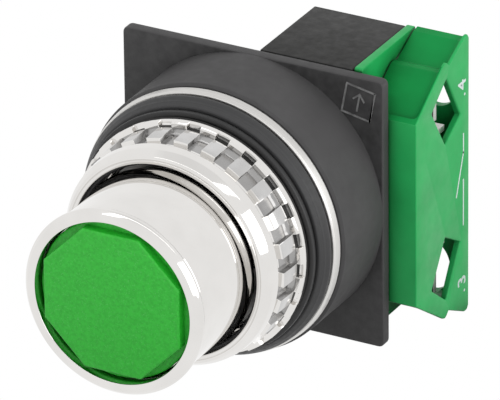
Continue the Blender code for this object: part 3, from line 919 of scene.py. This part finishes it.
def aux_block():
    """Plain black block behind the plate: an open box and the lid in its rear."""
    low, high = span("aux_block_housing")
    lid_low, lid_high = span("aux_block_cover")
    housing = scratch(
        prism_bm("Y", rectangle(low.x, high.x, low.z, high.z, 0.35), low.y, high.y), "black_block"
    )
    bevel(housing, 0.15)
    inside = rectangle(low.x + WALL, high.x - WALL, low.z + WALL, high.z - WALL, 0.5)
    combine(housing, "DIFFERENCE", prism_bm("Y", inside, low.y + WALL, high.y + 1.0))
    lid_outline = rectangle(lid_low.x, lid_high.x, lid_low.z, lid_high.z, 0.4)
    lid = scratch(prism_bm("Y", lid_outline, lid_low.y, lid_high.y), "black_block_lid")
    bevel(lid, 0.18)
    for side in (1, -1):
        center = (BLOCK_SCREW[0], side * BLOCK_SCREW[1])
        side_hole = (STACK_SCREW[0], side * STACK_SCREW[1])
        head_room = circle(center, 3.0)
        combine(housing, "UNION", prism_bm("Y", circle(center, 2.9), low.y + 0.5, lid_low.y - 0.3))
        combine(
            housing,
            "DIFFERENCE",
            prism_bm("Y", circle(center, CLEARANCE_HOLE), low.y - 1.0, high.y + 1.0),
            prism_bm("X", circle(side_hole, CLEARANCE_HOLE), low.x + 0.6, high.x + 1.0),
            prism_bm("X", circle(side_hole, 3.0), low.x - 1.0, low.x + 1.0),
        )
        combine(lid, "DIFFERENCE", prism_bm("Y", head_room, lid_low.y - 1.0, lid_high.y + 1.0))
    for obj, node in ((housing, "aux_block_housing"), (lid, "aux_block_cover")):
        to_metres(obj)
        place_piece(obj, [BLOCK], "operator", [node], 35)


def block_outline(front, back):
    """Side view of the contact block, as (y, z)."""
    upper = [
        (front, 15.8, 0.2),
        (24.1, 22.0, 0.6),
        (24.9, 22.3, 0.5),
        (25.5, 22.0, 0.4),
        (26.1, 21.4, 0.3),
        (31.6, 24.1, 0.9),
        (32.5, 24.1, 0.5),
        (back, 23.4, 0.4),
    ]
    lower = [(p[0], -p[1], *p[2:]) for p in reversed(upper)]
    return fillet(upper + lower, 5)


def grown(outline, amount):
    """A convex outline moved outwards by amount."""
    result = []
    count = len(outline)
    middle = sum((Vector(p[:2]) for p in outline), Vector((0.0, 0.0))) / count
    for i in range(count):
        corner = Vector(outline[i][:2])
        before = (Vector(outline[i - 1][:2]) - corner).normalized()
        after = (Vector(outline[(i + 1) % count][:2]) - corner).normalized()
        half = before.angle(after) / 2
        bisector = (before + after).normalized()
        if bisector.dot(middle - corner) > 0:
            bisector = -bisector
        result.append(tuple(corner + bisector * (amount / math.sin(half))))
    return result


def soft_cutter(axis, outline, face, depth, radius, corner):
    """Cutter for an opening whose outer edge is rounded by radius. face is the surface's place."""
    above, steps = 0.4, 6
    sections = [(face + above, radius)]
    for step in range(steps + 1):
        level = radius * step / steps
        spread = radius - math.sqrt(max(0.0, radius**2 - (radius - level) ** 2))
        sections.append((face - level, spread))
    sections.append((face - depth, 0.0))
    rings = []
    for level, spread in sections:
        rounding = corner + 0.6 * spread if corner else 0.0
        shape = [(*p, rounding) for p in grown(outline, spread)]
        rings.append(along(axis, level, fillet(shape, 4)))
    return loft_bm(rings)


def obround(center, radius, half, steps=24):
    """Outline with two straight sides, each 2 half long, and two half-round ends."""
    points = []
    for i in range(2 * steps):
        angle = math.pi * (i + 0.5) / steps
        middle = center[1] + (half if math.sin(angle) > 0 else -half)
        points.append((center[0] + radius * math.cos(angle), middle + radius * math.sin(angle)))
    return points


def block_trough(front, back, side, lift):
    """Sunk top of the block, raised by lift, as (y, z)."""
    shape = [
        (front + 0.8 + 0.5 * lift, 15.4 + lift),
        (24.0, 20.8 + lift, 0.8),
        (25.0, 20.9 + lift, 0.5),
        (26.0, 20.5 + lift, 0.5),
        (31.6, 23.1 + lift, 0.8),
        (back + 0.5, 23.4 + lift),
        (back + 0.5, 27.0),
        (front + 0.8 + 0.5 * lift, 27.0),
    ]
    return [(y, side * z) for y, z in fillet(shape, 4)]


def trough_cutter(left, right, front, back, side):
    """Cutter for the sunk top, whose floor curves up to meet the block's right rim."""
    depth, run, steps = 1.3, 1.0, 8
    sections = [along("X", left, block_trough(front, back, side, 0.0))]
    for step in range(steps + 1):
        t = step / steps
        lift = depth * (1 - math.sqrt(1 - t * t)) if t < 1 else depth
        level = right - run + run * t
        sections.append(along("X", level, block_trough(front, back, side, lift)))
    return loft_bm(sections)


def oval(center, half_width, half_height, steps=48):
    """Elliptical outline."""
    angles = [math.tau * (i + 0.5) / steps for i in range(steps)]
    return [
        (center[0] + half_width * math.cos(a), center[1] + half_height * math.sin(a)) for a in angles
    ]


def contact_block():
    """Green block with two wire openings on its right and two driver slots behind."""
    low, high = span("contact_block_body")
    proud = 0.02  # the print stands out this far
    front, back, left, right = low.y, high.y, low.x, high.x - proud
    bm = prism_bm("X", block_outline(front, back), left, right)
    edges = [e for e in bm.edges if all(v.co.x > right - 0.01 for v in e.verts)]
    bmesh.ops.bevel(
        bm,
        geom=edges,
        offset=0.4,
        offset_type="OFFSET",
        segments=5,
        profile=0.5,
        affect="EDGES",
        clamp_overlap=True,
    )
    body = scratch(bm, "contact_block_green")
    hollow = [(front + WALL, 14.2), (18.6, 16.0), (24.0, 19.2), (30.2, 21.1), (back - WALL, 21.1)]
    hollow += [(y, -z) for y, z in reversed(hollow)]
    combine(body, "DIFFERENCE", prism_bm("X", hollow, left - 1.0, right + proud - RIGHT_WALL))
    opening = [(25.4, 19.3), (30.2, 11.1), (25.0, 8.1), (20.4, 15.4)]
    # Driver slot of each side, and how much its edge is rounded
    slots = {
        1: (obround((22.6, 16.2), 3.4, 1.7), 0.25),
        -1: ([(max(x, DRIVER_SLOT_LEFT), z) for x, z in oval((21.45, -17.2), 3.6, 4.6)], 0.0),
    }
    for side in (1, -1):
        hole_at = (STACK_SCREW[0], side * STACK_SCREW[1])
        outline, soft = slots[side]
        if soft:
            slot = soft_cutter("Y", outline, back, 2.4, soft, 0.0)
        else:
            slot = prism_bm("Y", outline, back - 2.4, back + 1.0)
        combine(body, "UNION", prism_bm("X", circle(hole_at, 2.5), left, right - RIGHT_WALL / 2))
        combine(
            body,
            "DIFFERENCE",
            prism_bm("X", circle(hole_at, CLEARANCE_HOLE), left - 1.0, 25.0),
            soft_cutter("X", [(y, side * z) for y, z in opening], right, 1.8, 0.35, 0.3),
            slot,
            trough_cutter(left - 1.0, right - 0.35, front, back, side),
        )
    plunger_slot = rectangle(front - 1.0, front + WALL + 1.0, -ROD_SLOT_HALF, ROD_SLOT_HALF)
    combine(body, "DIFFERENCE", prism_bm("X", plunger_slot, left - 1.0, 20.5))
    to_metres(body)
    place_piece(
        body,
        [FINISHES["green_block"], PAINTED_SHADE_GREEN],
        "operator",
        ["contact_block_body"],
        34,
    )
    # Up-facing faces of the sunk top take the darker green: painted shade.
    for face in body.data.polygons:
        middle = face.center / MM
        if middle.x < right - 0.5 and abs(middle.z) > 15.2 and abs(face.normal.z) > 0.5:
            face.material_index = 1


def contact_block_cover():
    """Thin wall that closes the contact block's left side."""
    low, high = span("contact_block_cover")
    cover = scratch(
        prism_bm("X", rectangle(low.y, high.y, low.z, high.z, 0.5), low.x, high.x), "contact_block_side"
    )
    bevel(cover, 0.16)
    for side in (1, -1):
        hole = circle((STACK_SCREW[0], side * STACK_SCREW[1]), CLEARANCE_HOLE)
        combine(cover, "DIFFERENCE", prism_bm("X", hole, low.x - 1.0, high.x + 1.0))
    to_metres(cover)
    place_piece(
        cover, [FINISHES["green_block"]], "operator", ["contact_block_cover"], 34
    )


def block_print():
    """Terminal numbers and the open-contact symbol, printed on the block's right face."""
    right = span("contact_block_body")[1].x
    thick, half = 0.08, 0.17
    line_y, tip_y = 31.1, 28.7  # the symbol's straight line, and the tip of its open contact
    number_y, number_size = 31.8, 3.7
    dot_y, dot_radius = 31.5, 0.24
    strokes = [
        ((line_y, 7.4), (line_y, 4.2)),
        ((line_y, 4.2), (tip_y, -2.6)),
        ((line_y, -0.6), (line_y, -8.4)),
    ]
    for i, (a, b) in enumerate(strokes):
        bm = prism_bm("X", stroke(Vector(a), Vector(b), half), right - thick, right)
        finish_mesh(bm, f"contact_symbol_{i + 1}", [PRINT], "operator", [])
    for number, z, dot_z in (("4", 15.2, 14.2), ("3", -19.1, -20.2)):
        bm = prism_bm("X", circle((dot_y, dot_z), dot_radius, 20), right - thick, right)
        finish_mesh(bm, "terminal_dot_" + number, [PRINT], "operator", [])
        curve = bpy.data.curves.new("terminal_number", "FONT")
        curve.body = number
        curve.size = number_size
        curve.extrude = thick / 2
        curve.offset = 0.06
        text = bpy.data.objects.new("text", curve)
        bpy.context.scene.collection.objects.link(text)
        bpy.context.view_layer.update()
        evaluated = text.evaluated_get(bpy.context.evaluated_depsgraph_get())
        mesh = bpy.data.meshes.new_from_object(evaluated)
        bpy.data.objects.remove(text)
        obj = bpy.data.objects.new("terminal_number_" + number, mesh)
        bpy.context.scene.collection.objects.link(obj)
        facing = Matrix(((0, 0, 1, 0), (0, -1, 0, 0), (1, 0, 0, 0), (0, 0, 0, 1)))
        mesh.transform(Matrix.Translation((right - thick / 2, number_y, z)) @ facing)
        to_metres(obj)
        obj.data.materials.clear()
        place_piece(obj, [PRINT], "operator", [])


# Screws and springs


def slotted_screw(node, axis, outward, head, slot_depth):
    """Cheese-head screw: head of (radius, thickness) with a driver slot, and a plain shank."""
    low, high = span(node)
    head_radius, head_thickness = head
    index = 0 if axis == "X" else 1
    middle = (low + high) / 2
    top = high[index] if outward > 0 else low[index]
    end = low[index] if outward > 0 else high[index]
    length = abs(end - top)
    slot_half = 0.35
    outline = fillet(
        [
            (0.0, 0.0),
            (head_radius, 0.0, 0.25),
            (head_radius, head_thickness, 0.12),
            (THREAD, head_thickness, 0.1),
            (THREAD, length, 0.3),
            (0.0, length),
        ],
        4,
    )
    obj = scratch(lathe_bm(outline, 64), node + "_detailed")
    groove = rectangle(-head_radius - 1.0, head_radius + 1.0, -slot_half, slot_half)
    combine(obj, "DIFFERENCE", prism_bm("Y", groove, -1.0, slot_depth))
    bevel(obj, 0.05)
    if axis == "X":
        turn = Matrix.Rotation(math.radians(90 if outward > 0 else -90), 4, "Z")
    else:
        turn = Matrix.Rotation(math.pi if outward > 0 else 0.0, 4, "X")
    origin = middle.copy()
    origin[index] = top
    obj.data.transform(Matrix.Translation(origin) @ turn)
    to_metres(obj)
    place_piece(obj, [FINISHES["steel"]], "operator", [node], 40)


def screws():
    """Screws whose heads show: their axis, the way they face, and their heads' sizes."""
    kinds = {
        "block_screw_": {"axis": "Y", "outward": 1, "head": (2.7, 1.4), "slot_depth": 0.8},
        "stack_screw_": {"axis": "X", "outward": -1, "head": (2.6, 0.8), "slot_depth": 0.4},
        "terminal_screw_": {"axis": "Y", "outward": 1, "head": (2.4, 1.5), "slot_depth": 0.9},
    }
    for which in ("upper", "lower"):
        for kind, sizes in kinds.items():
            slotted_screw(kind + which, **sizes)


def spring(node, wire, turns):
    """Compression spring of round wire with closed ends."""
    low, high = span(node)
    middle = (low + high) / 2
    radius = (high.x - low.x) / 2 - wire
    bm = bmesh.new()
    per_turn, sides = 40, 12
    count = turns * per_turn
    rings = []
    for i in range(count + 1):
        t = i / count
        angle = math.tau * turns * t
        nearest_end = 0.0 if t < 0.5 else 1.0
        opened = min(t * turns, (1 - t) * turns, 1.0)  # below 1 only in the closed turn at each end
        level = t * opened + nearest_end * (1 - opened)
        y = low.y + wire + (high.y - low.y - 2 * wire) * level
        outward = Vector((math.cos(angle), 0.0, math.sin(angle)))
        center = Vector((middle.x, y, middle.z)) + outward * radius
        section = []
        for j in range(sides):
            a = math.tau * j / sides
            offset = outward * (wire * math.cos(a)) + Vector((0, wire * math.sin(a), 0))
            section.append(bm.verts.new(center + offset))
        rings.append(section)
    for first, second in zip(rings, rings[1:]):
        for j in range(sides):
            bm.faces.new((first[j - 1], first[j], second[j], second[j - 1]))
    bm.faces.new(rings[0])
    bm.faces.new(rings[-1])
    body = frame["nodes"][node]["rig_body"]
    obj = finish_mesh(bm, node + "_wire", [FINISHES["steel"]], body, [node], 60)
    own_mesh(obj)


# Slots of the CAD nodes that keep their shape
NODE_SLOTS = {
    "plunger_stem": "steel",
    "retaining_clip": "steel",
    "cross_bar": "black_plastic",
    "cap_screw": "steel",
    "cross_bar_screw": "steel",
    "threaded_barrel": "zinc",
    "barrel_screw_upper": "steel",
    "barrel_screw_lower": "steel",
    "contact_plunger": "cream_plastic",
    "contact_bridge": "brass",
    "fixed_contact_upper": "zinc",
    "fixed_contact_lower": "zinc",
    "clamp_plate_upper": "zinc",
    "clamp_plate_lower": "zinc",
}


def carried_over():
    """Better materials on the CAD nodes that stay."""
    for node, slot in NODE_SLOTS.items():
        for holder in frame["nodes"][node].material_slots:
            holder.material = FINISHES[slot]


button_cap()
button_insert()
bezel_ring_nut()
small_rings()
operator_body()
aux_block()
contact_block()
contact_block_cover()
block_print()
screws()
spring("return_spring", wire=0.6, turns=7)
spring("contact_spring", wire=0.3, turns=6)
carried_over()


# Stage, light and camera


def flat_sheet(name, level, mat):
    """Large level square of the stage, at a height in metres."""
    size = 6.0
    mesh = bpy.data.meshes.new(name)
    corners = [(-size, -size, level), (size, -size, level), (size, size, level), (-size, size, level)]
    mesh.from_pydata(corners, [], [(0, 1, 2, 3)])
    obj = bpy.data.objects.new(name, mesh)
    bpy.context.scene.collection.objects.link(obj)
    obj.data.materials.append(mat)
    return obj


def glowing(name):
    """Finish that gives off white light and reflects nothing."""
    f = Finish(name, (0.0, 0.0, 0.0), roughness=0.9, specular=0.0)
    f.set("Emission Color", (1.0, 1.0, 1.0, 1.0))
    return f


def floor():
    """White floor for the camera, one card for reflections and one for soft light from below; the dark
    middle of each card is a painted shadow under the object.
    """
    below, apart = 0.0006, 0.0004
    lowest = cad_box[0][2] - below
    f = glowing("floor_white")
    f.set("Emission Strength", 1.0)
    seen = flat_sheet("floor", lowest - apart, f.mat)
    seen.visible_diffuse = False
    seen.visible_glossy = False
    mirrored = card("reflector_card", lowest, (0.014, 0.030), darkest=0.10, start=0.008, end=0.021)
    mirrored.visible_diffuse = False
    shade = card("shade_card", lowest, (0.012, 0.0), darkest=0.0, start=0.045, end=0.150)
    shade.visible_glossy = False


def card(name, height, center, darkest, start, end):
    """Glowing sheet that the camera doesn't see. It has its darkest level up to start metres from
    its center, and its full level from end metres on.
    """
    f = glowing(name)
    centered = f.add("ShaderNodeVectorMath", operation="SUBTRACT")
    centered.inputs[1].default_value = (*center, height)
    f.link(f.place, centered.inputs[0])
    distance = f.add("ShaderNodeVectorMath", operation="LENGTH")
    f.link(centered.outputs[0], distance.inputs[0])
    # Dark middle of the sheet: a painted shadow under the object.
    level = f.remap(distance.outputs["Value"], darkest, 1.0, start, end)
    f.link(level, f.shader.inputs["Emission Strength"])
    sheet = flat_sheet(name, height, f.mat)
    sheet.visible_camera = False
    sheet.visible_shadow = False
    return sheet


def world():
    """White tent, a little less bright straight above, where its direction's Z nears 1."""
    scene_world = bpy.data.worlds.new("studio")
    bpy.context.scene.world = scene_world
    scene_world.use_nodes = True
    tree = scene_world.node_tree
    back = tree.nodes["Background"]
    back.inputs["Color"].default_value = (1.0, 1.0, 1.0, 1.0)
    place = tree.nodes.new("ShaderNodeTexCoord")
    parts = tree.nodes.new("ShaderNodeSeparateXYZ")
    tree.links.new(place.outputs["Generated"], parts.inputs[0])
    level = tree.nodes.new("ShaderNodeMapRange")
    level.interpolation_type = "SMOOTHSTEP"
    level.inputs["From Min"].default_value = 0.80
    level.inputs["From Max"].default_value = 0.93
    level.inputs["To Min"].default_value = 1.0
    level.inputs["To Max"].default_value = 0.88
    tree.links.new(parts.outputs["Z"], level.inputs["Value"])
    tree.links.new(level.outputs["Result"], back.inputs["Strength"])


def soft_light(name, place, target, size, watts):
    """A rectangular soft box at place, in metres, facing target."""
    data = bpy.data.lights.new(name, "AREA")
    data.shape = "RECTANGLE"
    data.size, data.size_y = size
    data.energy = watts
    obj = bpy.data.objects.new(name, data)
    bpy.context.scene.collection.objects.link(obj)
    obj.location = place
    obj.rotation_euler = (Vector(target) - Vector(place)).to_track_quat("-Z", "Y").to_euler()


def camera():
    """Camera at the photo's viewing angle: azimuth from the front towards the right."""
    azimuth, elevation, roll = math.radians(28.65), math.radians(26.23), math.radians(-0.64)
    distance = 1256.45
    target = Vector((-0.585, 12.6, -2.377))
    back = Vector(
        (
            math.sin(azimuth) * math.cos(elevation),
            -math.cos(azimuth) * math.cos(elevation),
            math.sin(elevation),
        )
    )
    level = Vector((math.cos(azimuth), math.sin(azimuth), 0.0))
    up = back.cross(level)
    right = level * math.cos(roll) + up * math.sin(roll)
    top = up * math.cos(roll) - level * math.sin(roll)
    data = bpy.data.cameras.new("camera")
    data.sensor_width = 36.0
    data.lens = 576.0
    data.clip_end = 50.0
    obj = bpy.data.objects.new("camera", data)
    bpy.context.scene.collection.objects.link(obj)
    place = Matrix((right, top, back)).transposed().to_4x4()
    place.translation = (target + back * distance) * MM
    obj.matrix_world = place
    bpy.context.scene.camera = obj


floor()
world()
soft_light(
    "side_box", place=(0.60, -0.15, 0.12), target=(0, -0.15, 0), size=(1.14, 0.52), watts=2.7
)
soft_light("top_box", place=(0.075, -0.26, 0.59), target=(0, 0, 0), size=(1.10, 0.07), watts=0.38)
camera()
bpy.context.scene.view_settings.view_transform = "Standard"
